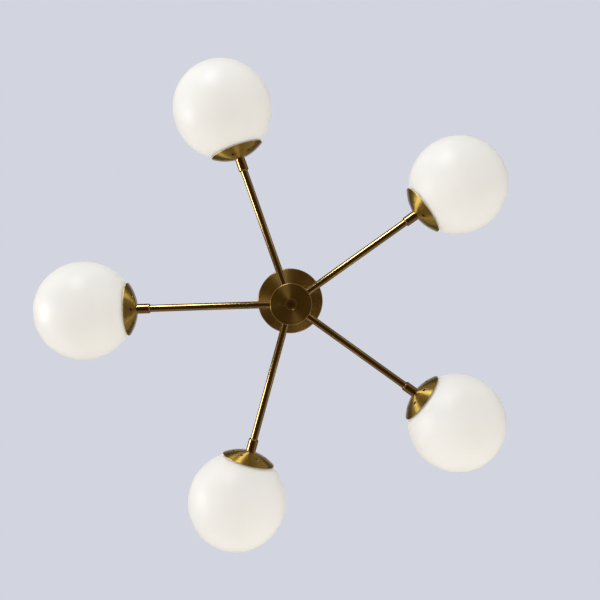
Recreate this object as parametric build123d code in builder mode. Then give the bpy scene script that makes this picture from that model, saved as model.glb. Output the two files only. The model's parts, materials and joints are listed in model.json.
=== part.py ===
"""Five-armed ceiling light: brass drum on a short stem, level arms, opal globes. Millimetres, +Z up.

The origin is the middle of the ceiling plane, and the light hangs below it. Every arm piece is
drawn in its arm's own plane: first coordinate outwards from the drum's axis, second upwards.
"""

import os
from math import cos, radians, sin, sqrt

from build123d import *

# --- Ceiling bracket: a bent bar with a tab on each side ---
bar_end_clearance = 5.0  # each end of the bar to the canopy's wall
bar_width = 22.0
bar_thickness = 2.5
bar_slope = 8.0  # run of each sloping leg
bar_bend = 3.0
slot_from_end = 11.5  # middle of each slot to the bar's end
slot_to_slope = 5.5
slot_length = 14.0
slot_width = 5.0
tab_width = 20.0
block_tab_margin = 1.5
earth_tab_margin = 2.0
earth_screw_y = -18.0
earth_screw_diameter = 4.0
earth_screw_length = 8.0
earth_head_diameter = 8.0
earth_head_height = 2.6
earth_head_round = 0.85
earth_recess_length = 4.8
earth_recess_width = 1.0

# --- Canopy, its collar and the stem ---
canopy_diameter = 120.0
canopy_depth = 34.0
canopy_wall = 1.0
canopy_edge = 2.0
slide_gap = 0.3  # canopy and collar, off the stem
canopy_collar_diameter = 22.0
canopy_collar_length = 12.0
canopy_collar_edge = 1.0
grub_diameter = 3.0
grub_socket_radius = 0.75
grub_socket_depth = 1.5
stem_diameter = 13.0
stem_bore = 10.0
stem_nut_width = 14.0
stem_nut_height = 4.0
thread_bore = 7.0  # bore of the threaded tubes that hold the stem
nipple_grip = 14.0  # length of each threaded tube inside the stem
nut_proud = 1.0  # thread standing out of the topmost nut

# --- Terminal block on its tab ---
block_size = (27.0, 17.0, 11.0)
block_edge = 0.8
block_y = 24.0
pole_spacing = 9.0
pole_diameter = 4.0
block_screw_diameter = 3.0
block_screw_engaged = 6.0
block_screw_head_diameter = 5.6
block_screw_head_height = 1.9
block_screw_head_round = 0.6

# --- Drum ---
drop_to_arms = 242.0  # canopy face to the arms' centre line
hub_diameter = 63.0
hub_above_arms = 30.0
hub_below_arms = 28.5
hub_wall = 2.0
hub_top_thickness = 2.5
hub_edge = 0.8
cover_thickness = 3.0
cover_crown = 1.3  # how much the cover swells from its edge to its middle
cover_chamfer = 0.9
cover_spigot = 3.0
cover_spigot_gap = 0.1
cover_nut_diameter = 18.0
cover_nut_rim = 1.2
cover_nut_crown = 2.1
cover_nut_bore_depth = 2.2
rod_window_width = 6.4
rod_window_height = 20.0
connector_wall_gap = 8.0
connector_height = 13.0
connector_nut_gap = 2.5  # under the corners of the arms' nuts
connector_clearance = 0.3

# --- Arms ---
arm_names = ("a", "b", "c", "d", "e")
first_azimuth = -108.0
arm_spacing = 72.0
arm_set = (-0.2, 1.7, 0.8, -1.6, -0.7)  # how far each arm stands off its even place, degrees
arm_diameter = 11.0
arm_bore = 8.0
arm_seat_depth = 0.5  # flat that seats the tube on the drum's round wall
arm_seat_gap = 0.2
nipple_bore = 6.0
nipple_length = 24.0
nut_width = 13.0
nut_height = 4.0
arm_collar_diameter = 15.0
arm_collar_length = 19.0
arm_collar_chamfer = 1.6
arm_neck = 2.0  # bare tube between the collar and the cap

# --- Globes, caps and what holds them ---
globe_reach = 315.0  # drum axis to globe centre
globe_radius = 75.0
glass_wall = 2.2
mouth_edge = 0.7
cap_radius = 40.4
cap_wall = 1.0
cap_rise = 11.8  # the dome, from its rim to its flat back
cap_flat_margin = 1.0  # flat round the corners of the arm's nut
cap_lip_height = 1.0
cap_lip_clearance = 2.4  # lip to glass, where the seal shows
cap_shoulder = 0.6
mouth_cover = 7.4  # how far the cap reaches past the mouth
vent_count = 6
vent_diameter = 5.0
vent_from_rim = 15.9
vent_edge = 0.35
vent_turn = (-17.0, 17.0, 30.0, 30.0, 0.0)  # each cap's vents, turned from straight down, degrees
seal_mouth_clearance = 1.5
seal_rim_clearance = 0.4
glass_gap = 0.3  # seal and clips, off the glass
clip_count = 3
clip_thickness = 0.6
clip_width = 8.0
clip_shoulder_inset = 11.0  # each in from the mouth's edge
clip_toe_inset = 4.0
clip_grip_spare = 0.4
clip_grip_past_mouth = 5.0
clip_toe_past_mouth = 11.0
clip_bend = 1.5

# --- Lampholder and bulb ---
holder_base_radius = 13.0
holder_base_height = 4.0
holder_radius = 11.0
holder_length = 26.0
holder_edge = 0.8
holder_thread_depth = 5.0
pin_spacing = 9.0
pin_diameter = 1.8
pin_length = 8.0
pin_clearance = 0.4
pin_hole_spare = 2.0
bulb_gap = 0.3
bulb_base_radius = 7.0
bulb_base_length = 11.0
bulb_radius = 8.0
bulb_length = 44.0
bulb_shoulder = 1.5

# --- Cables ---
supply_diameter = 5.0
supply_top_clearance = 2.0  # ceiling to the cable where it turns over
supply_bend = 4.0
supply_straight = 0.5
supply_turn_out = 7.2  # bend where it leaves the rod's window
supply_exit_radius = 13.5
supply_exit_fall = 11.0
supply_exit_azimuth = 0.0
lead_diameter = 3.6
lead_bend = 6.0
lead_nipple_gap = 2.0

# --- Worked out from the sizes above ---
canopy_inner_radius = canopy_diameter / 2 - canopy_wall
bar_length = 2 * (canopy_inner_radius - bar_end_clearance)
slot_spacing = bar_length - 2 * slot_from_end
bar_middle = slot_spacing - slot_length - 2 * (slot_to_slope + bar_slope)  # length of the lowered middle
block_tab_reach = block_y + block_size[1] / 2 + block_tab_margin
earth_tab_reach = earth_head_diameter / 2 + earth_tab_margin - earth_screw_y
over_z = -supply_top_clearance - supply_diameter / 2  # where the supply cable turns over
block_top = over_z - supply_bend - supply_straight
bar_top = block_top - block_size[2]
bar_underside = bar_top - bar_thickness
canopy_face = -canopy_depth
stem_top = bar_underside - stem_nut_height
arm_z = canopy_face - drop_to_arms
hub_top = arm_z + hub_above_arms
hub_bottom = arm_z - hub_below_arms
hub_radius = hub_diameter / 2
hub_inner_radius = hub_radius - hub_wall
cover_face = hub_bottom - cover_thickness
nut_corner = nut_width / sqrt(3)
connector_top = arm_z - nut_corner - connector_nut_gap
arm_seat = hub_radius - arm_seat_depth
cap_inner_radius = cap_radius - cap_wall
mouth_radius = cap_inner_radius - mouth_cover


def save(piece, label):
    """Name a finished piece and write it."""
    piece.part.label = label
    export_step(piece.part, f"parts/{label}.step")


def arm_plane(azimuth):
    """The upright plane through one arm: local X outwards, local Y up."""
    turn = radians(azimuth)
    return Plane(origin=(0, 0, arm_z), x_dir=(cos(turn), sin(turn), 0), z_dir=(sin(turn), -cos(turn), 0))


def arm_axis(plane):
    """The arm's centre line."""
    return Axis(plane.origin, plane.x_dir)


def across(plane, reach):
    """A plane square to the arm at a distance from the drum's axis; its local X points straight down."""
    return Plane(origin=plane.origin + plane.x_dir * reach, x_dir=(0, 0, -1), z_dir=plane.x_dir)


def hex_nut(plane, width, height, bore):
    """A hexagon nut standing on a plane."""
    with BuildPart() as nut:
        with BuildSketch(plane):
            RegularPolygon(radius=width / 2, side_count=6, major_radius=False)
            Circle(bore / 2, mode=Mode.SUBTRACT)
        extrude(amount=height)
    return nut.part


def sphere_height(sphere_radius, off_axis):
    """How far along its axis a sphere's surface lies from its centre, at a distance off the axis."""
    return sqrt(sphere_radius**2 - off_axis**2)


def sphere_of(rim_radius, crown):
    """The radius of the sphere whose cap has this rim and this height."""
    return (rim_radius**2 + crown**2) / (2 * crown)


glass_at_lip = sphere_height(globe_radius, cap_inner_radius)
lip_end = glass_at_lip + cap_lip_clearance
lip_start = lip_end + cap_lip_height
cap_back = lip_start + cap_rise  # globe centre to the flat back of the cap
cap_seat = globe_reach - cap_back  # where the tube ends and the cap begins
holder_back = cap_seat + cap_wall + nut_height + clip_thickness
lead_end = holder_back + holder_thread_depth  # the cap's nipple ends here too

azimuths = [first_azimuth + arm_spacing * place + set_by for place, set_by in enumerate(arm_set)]
arms = {name: arm_plane(azimuth) for name, azimuth in zip(arm_names, azimuths)}
os.makedirs("parts", exist_ok=True)

# ---------------------------------------------------------------- ceiling bracket
bar_line_z = -bar_thickness / 2
bar_drop = -bar_top  # ceiling to the top of the lowered middle
half_middle = bar_middle / 2
with BuildPart() as ceiling_bracket:
    with BuildSketch(Plane.XZ):
        with BuildLine():
            FilletPolyline(
                (-bar_length / 2, bar_line_z),
                (-half_middle - bar_slope, bar_line_z),
                (-half_middle, bar_line_z - bar_drop),
                (half_middle, bar_line_z - bar_drop),
                (half_middle + bar_slope, bar_line_z),
                (bar_length / 2, bar_line_z),
                radius=bar_bend,
            )
        trace(line_width=bar_thickness)
    extrude(amount=bar_width / 2, both=True)
    with BuildSketch(Plane.XY.offset(bar_underside)):
        with Locations((0, (block_tab_reach - earth_tab_reach) / 2)):
            RectangleRounded(tab_width, block_tab_reach + earth_tab_reach, bar_bend)
    extrude(amount=bar_thickness)
    with BuildSketch(Plane.XY.offset(bar_underside)):
        Circle(stem_bore / 2)
        with Locations((0, earth_screw_y)):
            Circle(earth_screw_diameter / 2)
        with Locations((pole_spacing / 2, block_y)):
            Circle(block_screw_diameter / 2)
    extrude(amount=bar_thickness, mode=Mode.SUBTRACT)
    with BuildSketch(Plane.XY):
        with GridLocations(slot_spacing, 0, 2, 1):
            SlotOverall(slot_length, slot_width)
    extrude(amount=-bar_thickness, mode=Mode.SUBTRACT)
save(ceiling_bracket, "ceiling_bracket")

# ---------------------------------------------------------------- earth screw
with BuildPart() as earth_screw:
    with BuildSketch(Plane.XY.offset(bar_top)):
        with Locations((0, earth_screw_y)):
            Circle(earth_head_diameter / 2)
    extrude(amount=earth_head_height)
    fillet(earth_screw.edges().group_by(Axis.Z)[-1], earth_head_round)
    with BuildSketch(Plane.XY.offset(bar_top)):
        with Locations((0, earth_screw_y)):
            Circle(earth_screw_diameter / 2)
    extrude(amount=-earth_screw_length)
    with BuildSketch(Plane.XY.offset(bar_top + earth_head_height)):
        with Locations((0, earth_screw_y)):
            Rectangle(earth_recess_length, earth_recess_width)
            Rectangle(earth_recess_width, earth_recess_length)
    extrude(amount=-earth_head_height / 2, mode=Mode.SUBTRACT)
save(earth_screw, "earth_screw")

# ---------------------------------------------------------------- terminal block and its screw
with BuildPart() as terminal_block:
    with BuildSketch(Plane.XY.offset(bar_top)):
        with Locations((0, block_y)):
            Rectangle(block_size[0], block_size[1])
    extrude(amount=block_size[2])
    fillet(terminal_block.edges().filter_by(Axis.Z), block_edge)
    with BuildSketch(Plane.XZ.offset(-block_y - block_size[1] / 2)):
        with Locations((0, bar_top + block_size[2] / 2)):
            with GridLocations(pole_spacing, 0, 3, 1):
                Circle(pole_diameter / 2)
    extrude(amount=block_size[1], mode=Mode.SUBTRACT)
    with BuildSketch(Plane.XY.offset(bar_top)):
        with Locations((pole_spacing / 2, block_y)):
            Circle(block_screw_diameter / 2)
    extrude(amount=block_screw_engaged, mode=Mode.SUBTRACT)
save(terminal_block, "terminal_block")

with BuildPart() as terminal_screw:
    with BuildSketch(Plane.XY.offset(bar_underside)):
        with Locations((pole_spacing / 2, block_y)):
            Circle(block_screw_head_diameter / 2)
    extrude(amount=-block_screw_head_height)
    fillet(terminal_screw.edges().group_by(Axis.Z)[0], block_screw_head_round)
    with BuildSketch(Plane.XY.offset(bar_underside)):
        with Locations((pole_spacing / 2, block_y)):
            Circle(block_screw_diameter / 2)
    extrude(amount=bar_thickness + block_screw_engaged)
save(terminal_screw, "terminal_screw")

# ---------------------------------------------------------------- stem and the threads that hold it
with BuildPart() as stem:
    with BuildSketch(Plane.XY.offset(hub_top)):
        Circle(stem_diameter / 2)
        Circle(stem_bore / 2, mode=Mode.SUBTRACT)
    extrude(amount=stem_top - hub_top)
save(stem, "stem")

top_nipple_top = bar_top + stem_nut_height + nut_proud
with BuildPart() as top_nipple:
    with BuildSketch(Plane.XY.offset(top_nipple_top)):
        Circle(stem_bore / 2)
        Circle(thread_bore / 2, mode=Mode.SUBTRACT)
    extrude(amount=stem_top - nipple_grip - top_nipple_top)
save(top_nipple, "top_nipple")

rod_top = hub_top + nipple_grip
rod_bottom = cover_face - cover_nut_bore_depth
exit_turn = radians(supply_exit_azimuth)
under_top_nut = hub_top - hub_top_thickness - stem_nut_height
window_plane = Plane(
    origin=(0, 0, under_top_nut - rod_window_height / 2),
    x_dir=(0, 0, 1),
    z_dir=(cos(exit_turn), sin(exit_turn), 0),
)
with BuildPart() as hub_rod:
    with BuildSketch(Plane.XY.offset(rod_top)):
        Circle(stem_bore / 2)
        Circle(thread_bore / 2, mode=Mode.SUBTRACT)
    extrude(amount=rod_bottom - rod_top)
    with BuildSketch(window_plane):
        SlotOverall(rod_window_height, rod_window_width)
    extrude(amount=stem_bore, mode=Mode.SUBTRACT)
save(hub_rod, "hub_rod")

with BuildPart() as stem_nuts:
    for nut_base in (bar_top, stem_top, under_top_nut):
        add(hex_nut(Plane.XY.offset(nut_base), stem_nut_width, stem_nut_height, stem_bore))
save(stem_nuts, "stem_nuts")

# ---------------------------------------------------------------- canopy and its collar
slide_bore = stem_diameter + 2 * slide_gap
with BuildPart() as canopy:
    with BuildSketch(Plane.XY):
        Circle(canopy_diameter / 2)
    extrude(amount=-canopy_depth)
    fillet(canopy.edges().group_by(Axis.Z)[0], canopy_edge)
    with BuildSketch(Plane.XY):
        Circle(canopy_inner_radius)
    extrude(amount=canopy_wall - canopy_depth, mode=Mode.SUBTRACT)
    with BuildSketch(Plane.XY.offset(canopy_face)):
        Circle(slide_bore / 2)
    extrude(amount=canopy_wall, mode=Mode.SUBTRACT)
    inner_corner = canopy.faces().filter_by(Plane.XY).sort_by(Axis.Z)[-2].outer_wire().edges()
    fillet(inner_corner, canopy_edge - canopy_wall)
save(canopy, "canopy")

grub_plane = Plane(origin=(0, 0, canopy_face - canopy_collar_length / 2), x_dir=(0, 0, 1), z_dir=(0, 1, 0))
with BuildPart() as canopy_collar:
    with BuildSketch(Plane.XY.offset(canopy_face)):
        Circle(canopy_collar_diameter / 2)
    extrude(amount=-canopy_collar_length)
    chamfer(canopy_collar.edges().group_by(Axis.Z)[0], canopy_collar_edge)
    with BuildSketch(Plane.XY.offset(canopy_face)):
        Circle(slide_bore / 2)
    extrude(amount=-canopy_collar_length, mode=Mode.SUBTRACT)
    with BuildSketch(grub_plane):
        Circle(grub_diameter / 2)
    extrude(amount=canopy_collar_diameter, mode=Mode.SUBTRACT)
save(canopy_collar, "canopy_collar")

with BuildPart() as collar_screw:
    with BuildSketch(grub_plane.offset(slide_bore / 2)):
        Circle(grub_diameter / 2)
    extrude(amount=(canopy_collar_diameter - slide_bore) / 2)
    with BuildSketch(grub_plane.offset(canopy_collar_diameter / 2)):
        RegularPolygon(radius=grub_socket_radius, side_count=6)
    extrude(amount=-grub_socket_depth, mode=Mode.SUBTRACT)
save(collar_screw, "collar_screw")

# ---------------------------------------------------------------- drum, its cover and the nut under it
with BuildPart() as hub_body:
    with BuildSketch(Plane.XY.offset(hub_top)):
        Circle(hub_radius)
    extrude(amount=hub_bottom - hub_top)
    fillet(hub_body.edges().group_by(Axis.Z)[-1], hub_edge)
    with BuildSketch(Plane.XY.offset(hub_bottom)):
        Circle(hub_inner_radius)
    extrude(amount=hub_top - hub_bottom - hub_top_thickness, mode=Mode.SUBTRACT)
    with BuildSketch(Plane.XY.offset(hub_top)):
        Circle(stem_bore / 2)
    extrude(amount=-hub_top_thickness, mode=Mode.SUBTRACT)
    for plane in arms.values():
        with BuildSketch(across(plane, arm_seat)):
            Circle(arm_diameter / 2 + arm_seat_gap)
        extrude(amount=hub_wall, mode=Mode.SUBTRACT)
        with BuildSketch(across(plane, arm_seat)):
            Circle(arm_bore / 2)
        extrude(amount=-2 * hub_wall, mode=Mode.SUBTRACT)
save(hub_body, "hub_body")

cover_sphere = sphere_of(hub_radius, cover_crown)


def cover_point(off_axis):
    """A point of the cover's swelling lower face, in a section through the drum's axis."""
    return (off_axis, cover_face + cover_sphere - sphere_height(cover_sphere, off_axis))


with BuildPart() as hub_cover:
    with BuildSketch(Plane.XZ) as cover_section:
        with BuildLine():
            ThreePointArc(cover_point(hub_radius), cover_point(hub_radius / 2), cover_point(stem_bore / 2))
            Polyline(
                cover_point(stem_bore / 2),
                (stem_bore / 2, hub_bottom),
                (hub_radius, hub_bottom),
                cover_point(hub_radius),
            )
        make_face()
        chamfer(cover_section.vertices().sort_by_distance(cover_point(hub_radius))[0], cover_chamfer)
    revolve(axis=Axis.Z)
    with BuildSketch(Plane.XY.offset(hub_bottom)):
        Circle(hub_inner_radius - cover_spigot_gap)
        Circle(hub_inner_radius - hub_wall, mode=Mode.SUBTRACT)
    extrude(amount=cover_spigot)
save(hub_cover, "hub_cover")

cover_nut_height = cover_nut_rim + cover_nut_crown
nut_sphere = sphere_of(cover_nut_diameter / 2, cover_nut_crown)
with BuildPart() as cover_nut:
    with BuildSketch(Plane.XY.offset(cover_face)):
        Circle(cover_nut_diameter / 2)
    extrude(amount=-cover_nut_height)
    with Locations((0, 0, cover_face - cover_nut_height + nut_sphere)):
        Sphere(nut_sphere, mode=Mode.INTERSECT)
    with BuildSketch(Plane.XY.offset(cover_face)):
        Circle(stem_bore / 2)
    extrude(amount=-cover_nut_bore_depth, mode=Mode.SUBTRACT)
save(cover_nut, "cover_nut")

# ---------------------------------------------------------------- wiring inside the drum
with BuildPart() as hub_connector:
    with BuildSketch(Plane.XY.offset(connector_top)):
        Circle(hub_inner_radius - connector_wall_gap)
        Circle(stem_bore / 2 + connector_clearance, mode=Mode.SUBTRACT)
    extrude(amount=-connector_height)
    fillet(hub_connector.edges().group_by(Axis.Z)[-1].sort_by(SortBy.RADIUS)[-1], block_edge)
save(hub_connector, "hub_connector")

exit_x = supply_exit_radius * cos(exit_turn)
exit_y = supply_exit_radius * sin(exit_turn)
turn_out_z = under_top_nut - supply_bend
with BuildPart() as supply_cable:
    with BuildLine():
        supply_route = FilletPolyline(
            (0, block_y, block_top),
            (0, block_y, over_z),
            (0, 0, over_z),
            (0, 0, turn_out_z),
            (exit_x, exit_y, turn_out_z - supply_exit_fall),
            (exit_x, exit_y, connector_top),
            radius=[supply_bend, supply_bend, supply_turn_out, supply_bend],
        )
    with BuildSketch(Plane(origin=(0, block_y, block_top), z_dir=(0, 0, 1))):
        Circle(supply_diameter / 2)
    sweep(path=supply_route)
save(supply_cable, "supply_cable")

hub_nut_face = sphere_height(hub_inner_radius, nut_corner)  # where the nut's corners meet the round wall
hub_nipple_start = hub_nut_face - nut_height - nut_proud
lead_drop_radius = hub_nipple_start - lead_bend - lead_nipple_gap
with BuildPart() as arm_leads:
    for plane in arms.values():
        with BuildLine(plane):
            lead_route = FilletPolyline(
                (lead_end, 0),
                (lead_drop_radius, 0),
                (lead_drop_radius, connector_top - arm_z),
                radius=lead_bend,
            )
        with BuildSketch(across(plane, lead_end)):
            Circle(lead_diameter / 2)
        sweep(path=lead_route)
save(arm_leads, "arm_leads")

# ---------------------------------------------------------------- short nipples and nuts along the arms
with BuildPart() as arm_nipples:
    for plane in arms.values():
        for start in (hub_nipple_start, lead_end - nipple_length):
            with BuildSketch(across(plane, start)):
                Circle(arm_bore / 2)
                Circle(nipple_bore / 2, mode=Mode.SUBTRACT)
            extrude(amount=nipple_length)
save(arm_nipples, "arm_nipples")

with BuildPart() as arm_nuts:
    for plane in arms.values():
        add(hex_nut(across(plane, hub_nut_face - nut_height), nut_width, nut_height, arm_bore))
        add(hex_nut(across(plane, cap_seat + cap_wall), nut_width, nut_height, arm_bore))
save(arm_nuts, "arm_nuts")

# ---------------------------------------------------------------- the cap's dome
cap_flat_radius = nut_corner + cap_flat_margin
dome_centre = (cap_back**2 + cap_flat_radius**2 - lip_start**2 - cap_radius**2) / (2 * cap_rise)
dome_radius = sqrt((cap_back - dome_centre) ** 2 + cap_flat_radius**2)
dome_inner_radius = dome_radius - cap_wall


def dome_point(sphere_radius, off_axis):
    """A point of the dome's outer or inner face in the arm's plane."""
    return (globe_reach - dome_centre - sphere_height(sphere_radius, off_axis), off_axis)


def globe_point(sphere_radius, off_axis):
    """A point of the glass, on the side of the cap."""
    return (globe_reach - sphere_height(sphere_radius, off_axis), off_axis)


seal_inner_radius = mouth_radius + seal_mouth_clearance
seal_outer_radius = cap_inner_radius - seal_rim_clearance
seal_rings = (seal_inner_radius, (seal_inner_radius + seal_outer_radius) / 2, seal_outer_radius)
seal_face = globe_radius + glass_gap
inner_flat_radius = sqrt(dome_inner_radius**2 - (cap_back - cap_wall - dome_centre) ** 2)
mouth_plane = globe_reach - sphere_height(globe_radius, mouth_radius)  # the mouth's nearest ring to the cap
clip_plate = cap_seat + cap_wall + nut_height + clip_thickness / 2
clip_grip_radius = mouth_radius - glass_gap - clip_thickness / 2 - clip_grip_spare

for (name, plane), turned in zip(arms.items(), vent_turn):
    # ------------------------------------------------------------ tube and collar
    with BuildPart() as arm_tube:
        with BuildSketch(across(plane, arm_seat)):
            Circle(arm_diameter / 2)
            Circle(arm_bore / 2, mode=Mode.SUBTRACT)
        extrude(amount=cap_seat - arm_seat)
    save(arm_tube, f"arm_tube_{name}")

    collar_end = cap_seat - arm_neck
    collar_start = collar_end - arm_collar_length
    with BuildPart() as arm_collar:
        with BuildSketch(across(plane, collar_start)):
            Circle(arm_collar_diameter / 2)
            Circle(arm_diameter / 2, mode=Mode.SUBTRACT)
        extrude(amount=arm_collar_length)
        outer_edges = arm_collar.edges().filter_by(GeomType.CIRCLE).sort_by(SortBy.RADIUS)[-2:]
        chamfer(outer_edges.sort_by(arm_axis(plane))[0], arm_collar_chamfer)
    save(arm_collar, f"arm_collar_{name}")

    # ------------------------------------------------------------ spun cap with its ring of vents
    with BuildPart() as cap:
        with BuildSketch(plane) as cap_section:
            with BuildLine():
                Polyline((cap_seat, 0), (cap_seat, cap_flat_radius))
                ThreePointArc(
                    (cap_seat, cap_flat_radius),
                    dome_point(dome_radius, (cap_flat_radius + cap_radius) / 2),
                    (globe_reach - lip_start, cap_radius),
                )
                Polyline(
                    (globe_reach - lip_start, cap_radius),
                    (globe_reach - lip_end, cap_radius),
                    (globe_reach - lip_end, cap_inner_radius),
                    dome_point(dome_inner_radius, cap_inner_radius),
                )
                ThreePointArc(
                    dome_point(dome_inner_radius, cap_inner_radius),
                    dome_point(dome_inner_radius, (inner_flat_radius + cap_inner_radius) / 2),
                    (cap_seat + cap_wall, inner_flat_radius),
                )
                Polyline((cap_seat + cap_wall, inner_flat_radius), (cap_seat + cap_wall, 0), (cap_seat, 0))
            make_face()
            rim_corner = cap_section.vertices().sort_by_distance((globe_reach - lip_start, cap_radius))[0]
            fillet(rim_corner, cap_shoulder)
        revolve(axis=arm_axis(plane))
        with BuildSketch(across(plane, cap_seat)):
            Circle(arm_bore / 2)
            with PolarLocations(cap_radius - vent_from_rim, vent_count, start_angle=turned):
                Circle(vent_diameter / 2)
        extrude(amount=cap_back - lip_end, mode=Mode.SUBTRACT)
        cut_edges = cap.edges(Select.LAST).filter_by(GeomType.CIRCLE, reverse=True)
        fillet(cut_edges.sort_by(arm_axis(plane))[:vent_count], vent_edge)
    save(cap, f"cap_{name}")

    # ------------------------------------------------------------ seal between cap and glass
    with BuildPart() as seal:
        with BuildSketch(plane):
            with BuildLine():
                cap_side = ThreePointArc(*[dome_point(dome_inner_radius, ring) for ring in seal_rings])
                glass_side = ThreePointArc(*[globe_point(seal_face, ring) for ring in seal_rings])
                Line(cap_side @ 0, glass_side @ 0)
                Line(cap_side @ 1, glass_side @ 1)
            make_face()
        revolve(axis=arm_axis(plane))
    save(seal, f"seal_{name}")

    # ------------------------------------------------------------ three-legged spring clip inside the mouth
    with BuildPart() as globe_clip:
        for leg in range(clip_count):
            leg_turn = plane.z_dir.rotate(Axis((0, 0, 0), plane.x_dir), 360 / clip_count * leg)
            with BuildSketch(Plane(origin=plane.origin, x_dir=plane.x_dir, z_dir=leg_turn)):
                with BuildLine():
                    FilletPolyline(
                        (clip_plate, 0),
                        (clip_plate, mouth_radius - clip_shoulder_inset),
                        (mouth_plane + clip_grip_past_mouth, clip_grip_radius),
                        (mouth_plane + clip_toe_past_mouth, mouth_radius - clip_toe_inset),
                        radius=clip_bend,
                    )
                trace(line_width=clip_thickness)
            extrude(amount=clip_width / 2, both=True)
        with BuildSketch(across(plane, clip_plate - clip_thickness / 2)):
            Circle(holder_base_radius)
        extrude(amount=clip_thickness)
        with BuildSketch(across(plane, clip_plate - clip_thickness / 2)):
            Circle(arm_bore / 2)
        extrude(amount=clip_thickness, mode=Mode.SUBTRACT)
    save(globe_clip, f"globe_clip_{name}")

    # ------------------------------------------------------------ ceramic lampholder
    with BuildPart() as lampholder:
        with BuildSketch(across(plane, holder_back)):
            Circle(holder_base_radius)
        extrude(amount=holder_base_height)
        with BuildSketch(across(plane, holder_back)):
            Circle(holder_radius)
        extrude(amount=holder_length)
        fillet(lampholder.edges().sort_by(arm_axis(plane))[-1], holder_edge)
        with BuildSketch(across(plane, holder_back)):
            Circle(arm_bore / 2)
        extrude(amount=holder_thread_depth, mode=Mode.SUBTRACT)
        with BuildSketch(across(plane, holder_back + holder_length)):
            with GridLocations(0, pin_spacing, 1, 2):
                Circle(pin_diameter / 2 + pin_clearance)
        extrude(amount=-pin_length - pin_hole_spare, mode=Mode.SUBTRACT)
    save(lampholder, f"lampholder_{name}")

    # ------------------------------------------------------------ plug-in bulb
    bulb_start = holder_back + holder_length + bulb_gap
    dome_start = bulb_start + bulb_length - bulb_radius
    with BuildPart() as bulb:
        with BuildSketch(plane):
            with BuildLine():
                Polyline(
                    (dome_start + bulb_radius, 0),
                    (bulb_start, 0),
                    (bulb_start, bulb_base_radius),
                    (bulb_start + bulb_base_length, bulb_base_radius),
                    (bulb_start + bulb_base_length + bulb_shoulder, bulb_radius),
                    (dome_start, bulb_radius),
                )
                RadiusArc((dome_start, bulb_radius), (dome_start + bulb_radius, 0), bulb_radius)
            make_face()
        revolve(axis=arm_axis(plane))
        with BuildSketch(across(plane, bulb_start)):
            with GridLocations(0, pin_spacing, 1, 2):
                Circle(pin_diameter / 2)
        extrude(amount=-pin_length)
    save(bulb, f"bulb_{name}")

    # ------------------------------------------------------------ opal globe with a round mouth
    inner_glass = globe_radius - glass_wall
    with BuildPart() as globe:
        with BuildSketch(plane):
            with BuildLine():
                outer_pole = (globe_reach + globe_radius, 0)
                inner_pole = (globe_reach + inner_glass, 0)
                outer_mouth = globe_point(globe_radius, mouth_radius)
                inner_mouth = globe_point(inner_glass, mouth_radius)
                ThreePointArc(outer_mouth, (globe_reach, globe_radius), outer_pole)
                Line(outer_pole, inner_pole)
                ThreePointArc(inner_pole, (globe_reach, inner_glass), inner_mouth)
                Line(inner_mouth, outer_mouth)
            make_face()
        revolve(axis=arm_axis(plane))
        fillet(globe.edges().filter_by(GeomType.CIRCLE).sort_by(arm_axis(plane))[:2], mouth_edge)
    save(globe, f"globe_{name}")
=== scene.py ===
"""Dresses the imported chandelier: brass, opal glass, studio light and the camera under the light.

Metres, +Z up, origin in the middle of the ceiling plane. The camera stands below and looks up.
"""

import json
from math import cos, pi, radians, sin, tan

import bpy
from mathutils import Matrix, Vector


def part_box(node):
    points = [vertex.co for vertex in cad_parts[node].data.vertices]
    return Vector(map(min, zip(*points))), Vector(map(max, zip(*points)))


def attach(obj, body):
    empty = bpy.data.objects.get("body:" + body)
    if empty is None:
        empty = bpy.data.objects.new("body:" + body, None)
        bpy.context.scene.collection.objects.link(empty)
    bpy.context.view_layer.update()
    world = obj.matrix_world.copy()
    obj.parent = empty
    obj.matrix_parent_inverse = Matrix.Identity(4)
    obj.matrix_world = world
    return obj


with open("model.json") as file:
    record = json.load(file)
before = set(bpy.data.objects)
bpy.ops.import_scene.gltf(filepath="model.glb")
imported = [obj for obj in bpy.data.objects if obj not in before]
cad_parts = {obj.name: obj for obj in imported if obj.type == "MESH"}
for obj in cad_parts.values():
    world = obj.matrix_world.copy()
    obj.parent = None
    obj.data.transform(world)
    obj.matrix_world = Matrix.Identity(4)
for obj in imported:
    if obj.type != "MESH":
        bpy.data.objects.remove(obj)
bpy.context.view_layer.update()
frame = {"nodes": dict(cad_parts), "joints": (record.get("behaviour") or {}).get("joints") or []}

NODES = frame["nodes"]
ARM_NAMES = ("a", "b", "c", "d", "e")
UPRIGHT = Vector((0, 0, 1))

# --- Where the arms are, read from the frame ---
ARM_Z = sum(corner[2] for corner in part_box("arm_tube_e")) / 2
PULLS = {joint["name"]: Vector(joint["axis"]) for joint in frame["joints"]}
ARM_DIRECTIONS = {name: PULLS[f"globe_{name}_pull"] for name in ARM_NAMES}
ARM_CENTRE = Vector((0, 0, ARM_Z))

# --- Camera, as the photograph was taken ---
PHOTO_WIDTH = 600
FOCAL_PIXELS = 770
SENSOR_MM = 36
CAMERA_DISTANCE = 1.1817  # camera to the arms' centre, along the line of sight
CENTRE_RIGHT = -0.01406  # the arms' centre, off the middle of the picture
CENTRE_DOWN = 0.00589
TILT_ACROSS = radians(-0.937)
TILT_DOWN = radians(-1.008)
ROLL = radians(1.151)
CLIP_END = 50

# --- Backdrop, floor and light ---
BACKDROP_SRGB = (210, 213, 223)
FLOOR_Z = -2.3
FLOOR_RADIUS = 7.0
FLOOR_SIDES = 96
FLOOR_SRGB = (229, 228, 226)
FLOOR_ROUGHNESS = 0.9
AMBIENT_SRGB = (255, 253, 249)  # what the room gives to matt surfaces
LAMP_DISTANCE = 2.3
LAMP_SIZE = 0.75

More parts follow.
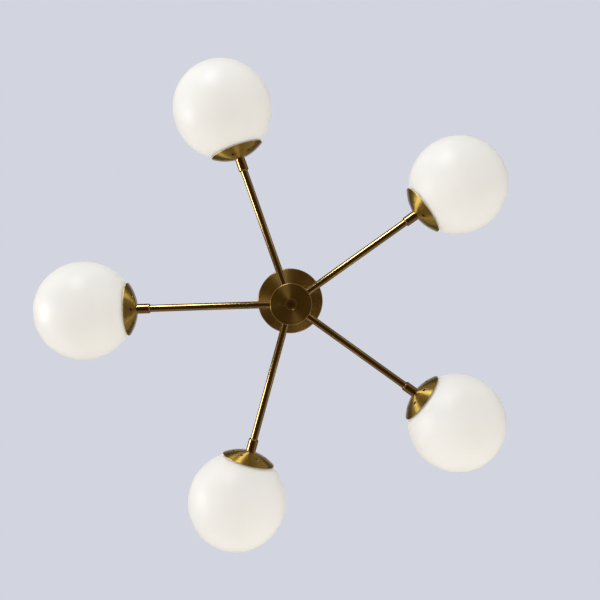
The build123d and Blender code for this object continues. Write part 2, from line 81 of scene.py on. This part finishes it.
# What metal shows of the room, from straight down upwards: elevation in degrees, level, warmth.
# Above these it shows the backdrop, as the camera does.
ROOM = (
    (-90, 0.05, 1.0),
    (-60, 0.07, 1.0),
    (-44, 0.12, 0.8),
    (-27, 0.28, 0.5),
    (-9, 0.36, 0.3),
    (1, 0.52, 0.2),
    (13, 0.30, 0.2),
    (30, 0.11, 0.5),
    (58, 0.08, 0.6),
    (70, 0.25, 0.0),
)
ROOM_COOL = (1.0, 0.98, 1.02)
ROOM_WARM = (1.0, 0.66, 0.34)
BACKDROP_FROM = 80  # elevation at which the ramp reaches the backdrop, degrees


def srgb(red, green, blue):
    """A written colour as the linear values that a shader takes."""

    def linear(value):
        value /= 255
        return value / 12.92 if value <= 0.04045 else ((value + 0.055) / 1.055) ** 2.4

    return (linear(red), linear(green), linear(blue), 1.0)


NOISE_ROUGHNESS = 0.55  # how strong the finer octaves of every noise are

# --- Brass: each pair of tones is the bright one and the browner one ---
SPUN_BRASS = (srgb(214, 184, 96), srgb(198, 162, 76))
PLATE_BRASS = (srgb(188, 156, 84), srgb(170, 136, 66))
DRAWN_BRASS = (srgb(176, 146, 82), srgb(156, 124, 62))
COLLAR_BRASS = (srgb(172, 137, 80), srgb(153, 117, 61))
CLOUD_SCALE = 14.0
CLOUD_DETAIL = 4.0
CLOUD_RANGE = (0.3, 0.7)  # the noise values between which the cloud goes from clear to full
BROWNING = 0.75  # how far the fullest cloud goes towards the browner tone
SMOOTHER = 0.03  # off the roughness where the cloud is clear
ROUGHER = 0.05  # onto it where the cloud is full
LACQUER_ROUGHNESS = 0.1
RING_SCALE = 2600.0
RING_DETAIL = 2.0
RING_STRENGTH = 0.06
RING_HEIGHT = 0.0003

# --- Opal glass: its two tones, and how it scatters ---
OPAL_TONES = (srgb(251, 248, 241), srgb(250, 245, 235))
OPAL_SCALE = 9.0
OPAL_DETAIL = 2.0
OPAL_ROUGHNESS = 0.42
OPAL_SPECULAR = 0.35
OPAL_SCATTER = 0.35
OPAL_SCATTER_SIZE = 0.02
OPAL_SCATTER_TINT = (1.0, 0.85, 0.6)

# --- Grain of the moulded, plated and rubber pieces ---
GRAIN_SCALE = 60.0
GRAIN_DETAIL = 4.0
GRAIN_SHADE = 0.82  # the darker tone, as a share of the colour
GRAIN_ROUGHNESS = 0.06  # how much it adds to or takes off the roughness
GRAIN_STRENGTH = 0.08
GRAIN_HEIGHT = 0.0004

# --- Screw threads ---
THREAD_PITCH = 0.001
THREAD_DEPTH = 0.0003
THREAD_SIDES = 32  # steps to a turn
ROD_RADIUS = 0.005


class Graph:
    """A small helper that adds shader nodes and joins them."""

    def __init__(self, tree):
        self.tree = tree
        tree.nodes.clear()

    def add(self, kind, inputs=None, **settings):
        """A node with its settings; an input is a value, or another node's output socket."""
        node = self.tree.nodes.new(kind)
        for name, value in settings.items():
            setattr(node, name, value)
        for name, value in (inputs or {}).items():
            if isinstance(value, bpy.types.NodeSocket):
                self.tree.links.new(value, node.inputs[name])
            else:
                node.inputs[name].default_value = value
        return node

    def math(self, operation, *values):
        """A Math node's output."""
        return self.add("ShaderNodeMath", dict(enumerate(values)), operation=operation).outputs[0]

    def vector(self, operation, *values, out=0):
        """A Vector Math node's output."""
        return self.add("ShaderNodeVectorMath", dict(enumerate(values)), operation=operation).outputs[out]

    def noise(self, vector, scale, detail):
        """A noise value, from 0 to 1."""
        inputs = {"Vector": vector, "Scale": scale, "Detail": detail, "Roughness": NOISE_ROUGHNESS}
        return self.add("ShaderNodeTexNoise", inputs).outputs[0]

    def bump(self, height, strength, distance):
        """The normal of a fine relief."""
        inputs = {"Height": height, "Strength": strength, "Distance": distance}
        return self.add("ShaderNodeBump", inputs).outputs[0]

    def spread(self, value, low, high, from_low=0.0, from_high=1.0):
        """A value mapped from one range to another."""
        inputs = {"Value": value, "From Min": from_low, "From Max": from_high, "To Min": low, "To Max": high}
        return self.add("ShaderNodeMapRange", inputs).outputs[0]

    def mix(self, factor, first, second):
        """Two colours mixed by a value; 6 and 7 are the node's colour inputs, and 2 its colour output."""
        return self.add("ShaderNodeMix", {0: factor, 6: first, 7: second}, data_type="RGBA").outputs[2]

    def surface(self, inputs):
        """The material's one surface."""
        shader = self.add("ShaderNodeBsdfPrincipled", inputs)
        self.add("ShaderNodeOutputMaterial", {"Surface": shader.outputs[0]})


def new_material(name):
    """A material and the graph that fills it."""
    material = bpy.data.materials.new(name)
    material.use_nodes = True
    return material, Graph(material.node_tree)


def dress(node_name, material):
    """Give a CAD node its material."""
    node = NODES[node_name]
    node.data.materials.clear()
    node.data.materials.append(material)


def outward_from(graph, place, axis):
    """The way out to the shaded point from a turning axis through the arms' centre."""
    arm = graph.vector("SUBTRACT", place, tuple(ARM_CENTRE))
    return graph.vector("SUBTRACT", arm, graph.vector("PROJECT", arm, tuple(axis)))


def brass(name, tones, roughness, lacquer, turned=0.0, axis=UPRIGHT):
    """Satin lacquered brass. turned is how strongly the lathe's rings round the axis stretch highlights."""
    material, graph = new_material(name)
    place = graph.add("ShaderNodeTexCoord").outputs["Object"]
    cloud = graph.noise(place, CLOUD_SCALE, CLOUD_DETAIL)
    inputs = {
        "Base Color": graph.mix(graph.spread(cloud, 0.0, BROWNING, *CLOUD_RANGE), *tones),
        "Metallic": 1.0,
        "Roughness": graph.spread(cloud, roughness - SMOOTHER, roughness + ROUGHER, *CLOUD_RANGE),
        "Coat Weight": lacquer,
        "Coat Roughness": LACQUER_ROUGHNESS,
    }
    if turned:
        outward = outward_from(graph, place, axis)
        radius = graph.add("ShaderNodeCombineXYZ", {"X": graph.vector("LENGTH", outward, out=1)})
        rings = graph.noise(radius.outputs[0], RING_SCALE, RING_DETAIL)
        inputs["Normal"] = graph.bump(rings, RING_STRENGTH, RING_HEIGHT)
        inputs["Anisotropic"] = turned
        inputs["Tangent"] = graph.vector("NORMALIZE", outward)
    graph.surface(inputs)
    return material


def opal_glass():
    """Matt opal glass: milky, soft, a little warm."""
    material, graph = new_material("opal_glass")
    place = graph.add("ShaderNodeTexCoord").outputs["Object"]
    graph.surface(
        {
            "Base Color": graph.mix(graph.noise(place, OPAL_SCALE, OPAL_DETAIL), *OPAL_TONES),
            "Roughness": OPAL_ROUGHNESS,
            "Specular IOR Level": OPAL_SPECULAR,
            "Subsurface Weight": OPAL_SCATTER,
            "Subsurface Radius": OPAL_SCATTER_TINT,
            "Subsurface Scale": OPAL_SCATTER_SIZE,
        }
    )
    return material


def plain(name, colour, roughness, metallic=0.0):
    """A moulded, plated or rubber surface with a little grain."""
    material, graph = new_material(name)
    place = graph.add("ShaderNodeTexCoord").outputs["Object"]
    grain = graph.noise(place, GRAIN_SCALE, GRAIN_DETAIL)
    darker = tuple(GRAIN_SHADE * channel for channel in colour[:3]) + (1.0,)
    graph.surface(
        {
            "Base Color": graph.mix(grain, colour, darker),
            "Metallic": metallic,
            "Roughness": graph.spread(grain, roughness - GRAIN_ROUGHNESS, roughness + GRAIN_ROUGHNESS),
            "Normal": graph.bump(grain, GRAIN_STRENGTH, GRAIN_HEIGHT),
        }
    )
    return material


def threaded(name, node_name, material):
    """The thread's ridge, wound up an upright rod."""
    low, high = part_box(node_name)
    rise = high[2] - low[2] - THREAD_PITCH
    steps = round(rise / THREAD_PITCH * THREAD_SIDES)
    profile = ((0, 0), (THREAD_DEPTH, THREAD_PITCH / 2), (0, THREAD_PITCH))
    points = []
    for step in range(steps + 1):
        turn = 2 * pi * step / THREAD_SIDES
        start = low[2] + rise * step / steps
        for out, up in profile:
            radius = ROD_RADIUS + out
            points.append((radius * cos(turn), radius * sin(turn), start + up))
    faces = [(2, 1, 0), (3 * steps, 3 * steps + 1, 3 * steps + 2)]
    for step in range(steps):
        for side in range(3):
            first, second = 3 * step + side, 3 * step + (side + 1) % 3
            faces.append((first, second, second + 3, first + 3))
    mesh = bpy.data.meshes.new(name)
    mesh.from_pydata(points, [], faces)
    ridge = bpy.data.objects.new(name, mesh)
    bpy.context.scene.collection.objects.link(ridge)
    mesh.materials.append(material)
    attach(ridge, "fixture")


def place_camera():
    """The camera below the light, with the photograph's tilt and roll."""
    sight = Vector((tan(TILT_ACROSS), tan(TILT_DOWN), 1)).normalized()
    turn = UPRIGHT.rotation_difference(sight).to_matrix() @ Matrix.Rotation(-ROLL, 3, "Z")
    back = turn.transposed()
    middle = Vector((CENTRE_RIGHT, CENTRE_DOWN, CAMERA_DISTANCE))
    columns = [back @ Vector(axis) for axis in ((1, 0, 0), (0, -1, 0), (0, 0, -1))]
    matrix = Matrix(columns).transposed().to_4x4()
    matrix.translation = ARM_CENTRE - back @ middle
    camera = bpy.data.objects.new("camera", bpy.data.cameras.new("camera"))
    bpy.context.scene.collection.objects.link(camera)
    camera.matrix_world = matrix
    camera.data.sensor_width = SENSOR_MM
    camera.data.lens = SENSOR_MM * FOCAL_PIXELS / PHOTO_WIDTH
    camera.data.clip_end = CLIP_END
    bpy.context.scene.camera = camera


def make_floor():
    """A plain pale floor, well below the camera."""
    bpy.ops.mesh.primitive_circle_add(
        vertices=FLOOR_SIDES, radius=FLOOR_RADIUS, fill_type="NGON", location=(0, 0, FLOOR_Z)
    )
    floor = bpy.context.object
    floor.name = "floor"
    material, graph = new_material("floor")
    graph.surface({"Base Color": srgb(*FLOOR_SRGB), "Roughness": FLOOR_ROUGHNESS})
    floor.data.materials.append(material)
    floor.visible_glossy = False


def make_world():
    """The pale backdrop for the camera; for metal, the backdrop overhead and the room round and below it."""
    world = bpy.data.worlds.new("studio")
    bpy.context.scene.world = world
    world.use_nodes = True
    graph = Graph(world.node_tree)
    rays = graph.add("ShaderNodeLightPath").outputs
    direction = graph.add("ShaderNodeTexCoord").outputs["Generated"]
    height = graph.add("ShaderNodeSeparateXYZ", {0: direction}).outputs["Z"]
    backdrop = srgb(*BACKDROP_SRGB)
    ramp = graph.add("ShaderNodeValToRGB", {"Fac": graph.spread(height, 0.0, 1.0, -1.0, 1.0)})
    stops = ramp.color_ramp.elements
    for number, (elevation, level, warmth) in enumerate(ROOM):
        stop = stops[number] if number < 2 else stops.new(1.0)
        stop.position = (1 + sin(radians(elevation))) / 2
        tint = [cool + warmth * (warm - cool) for cool, warm in zip(ROOM_COOL, ROOM_WARM)]
        stop.color = [level * channel for channel in tint] + [1]
    stop = stops.new((1 + sin(radians(BACKDROP_FROM))) / 2)
    stop.color = backdrop
    lit = graph.mix(rays["Is Glossy Ray"], srgb(*AMBIENT_SRGB), ramp.outputs[0])
    seen = graph.math("MAXIMUM", rays["Is Camera Ray"], rays["Is Transmission Ray"])
    colour = graph.mix(seen, lit, backdrop)
    background = graph.add("ShaderNodeBackground", {"Color": colour, "Strength": 1.0})
    graph.add("ShaderNodeOutputWorld", {"Surface": background.outputs[0]})


def softbox(name, azimuth, elevation, shine, glow, colour=(1, 1, 1)):
    """A square lamp that faces the arms' centre: metal shows its shine, matt surfaces take its glow."""
    turn, rise = radians(azimuth), radians(elevation)
    towards = Vector((cos(turn) * cos(rise), sin(turn) * cos(rise), sin(rise)))
    for part, power in (("shine", shine), ("glow", glow)):
        lamp = bpy.data.lights.new(f"{name}_{part}", "AREA")
        lamp.shape = "SQUARE"
        lamp.size = LAMP_SIZE
        lamp.energy = power
        lamp.color = colour
        holder = bpy.data.objects.new(lamp.name, lamp)
        bpy.context.scene.collection.objects.link(holder)
        holder.location = ARM_CENTRE + LAMP_DISTANCE * towards
        holder.rotation_euler = (-towards).to_track_quat("-Z", "Y").to_euler()
        holder.visible_camera = False
        holder.visible_diffuse = part == "glow"
        holder.visible_glossy = part == "shine"


# --- The pieces that show ---
tube_brass = brass("drawn_brass", DRAWN_BRASS, roughness=0.13, lacquer=0.5)
collar_brass = brass("collar_brass", COLLAR_BRASS, roughness=0.14, lacquer=0.5)
dress("hub_cover", brass("turned_brass", PLATE_BRASS, roughness=0.32, lacquer=0.15, turned=0.8))
dress("canopy", brass("canopy_brass", PLATE_BRASS, roughness=0.41, lacquer=0.15, turned=0.9))
for piece in ("canopy_collar", "hub_body", "cover_nut", "stem"):
    dress(piece, tube_brass)
glass = opal_glass()
for arm, axis in ARM_DIRECTIONS.items():
    spun_brass = brass(f"spun_brass_{arm}", SPUN_BRASS, roughness=0.47, lacquer=0.15, turned=1.0, axis=axis)
    dress(f"cap_{arm}", spun_brass)
    dress(f"arm_tube_{arm}", tube_brass)
    dress(f"arm_collar_{arm}", collar_brass)
    dress(f"globe_{arm}", glass)

# --- The pieces inside and behind them ---
zinc = plain("zinc_plate", srgb(200, 201, 198), 0.42, metallic=0.75)
spring = plain("spring_steel", srgb(186, 186, 182), 0.34, metallic=0.8)
ceramic = plain("white_ceramic", srgb(232, 229, 222), 0.3)
rubber = plain("clear_rubber", srgb(206, 203, 196), 0.5)
plastic = plain("block_plastic", srgb(226, 226, 221), 0.45)
bulb_glass = plain("bulb_glass", srgb(240, 239, 232), 0.25)
for piece in (
    "ceiling_bracket",
    "earth_screw",
    "terminal_screw",
    "collar_screw",
    "top_nipple",
    "hub_rod",
    "stem_nuts",
    "arm_nipples",
    "arm_nuts",
):
    dress(piece, zinc)
for piece in ("terminal_block", "hub_connector"):
    dress(piece, plastic)
dress("supply_cable", plain("cable_sheath", srgb(222, 222, 218), 0.5))
dress("arm_leads", plain("lead_sheath", srgb(205, 190, 160), 0.45))
for arm in ARM_NAMES:
    dress(f"seal_{arm}", rubber)
    dress(f"globe_clip_{arm}", spring)
    dress(f"lampholder_{arm}", ceramic)
    dress(f"bulb_{arm}", bulb_glass)
threaded("top_thread", "top_nipple", zinc)
threaded("hub_thread", "hub_rod", zinc)

# --- Camera, floor, world and lamps ---
place_camera()
make_floor()
make_world()
softbox("key", azimuth=-109, elevation=-20, shine=24.0, glow=13.0, colour=(0.96, 0.99, 1.04))
softbox("side", azimuth=178, elevation=-6, shine=20.0, glow=11.0)
softbox("fill", azimuth=70, elevation=-30, shine=4.0, glow=12.0, colour=(1.0, 0.92, 0.79))

bpy.context.scene.view_settings.view_transform = "Standard"
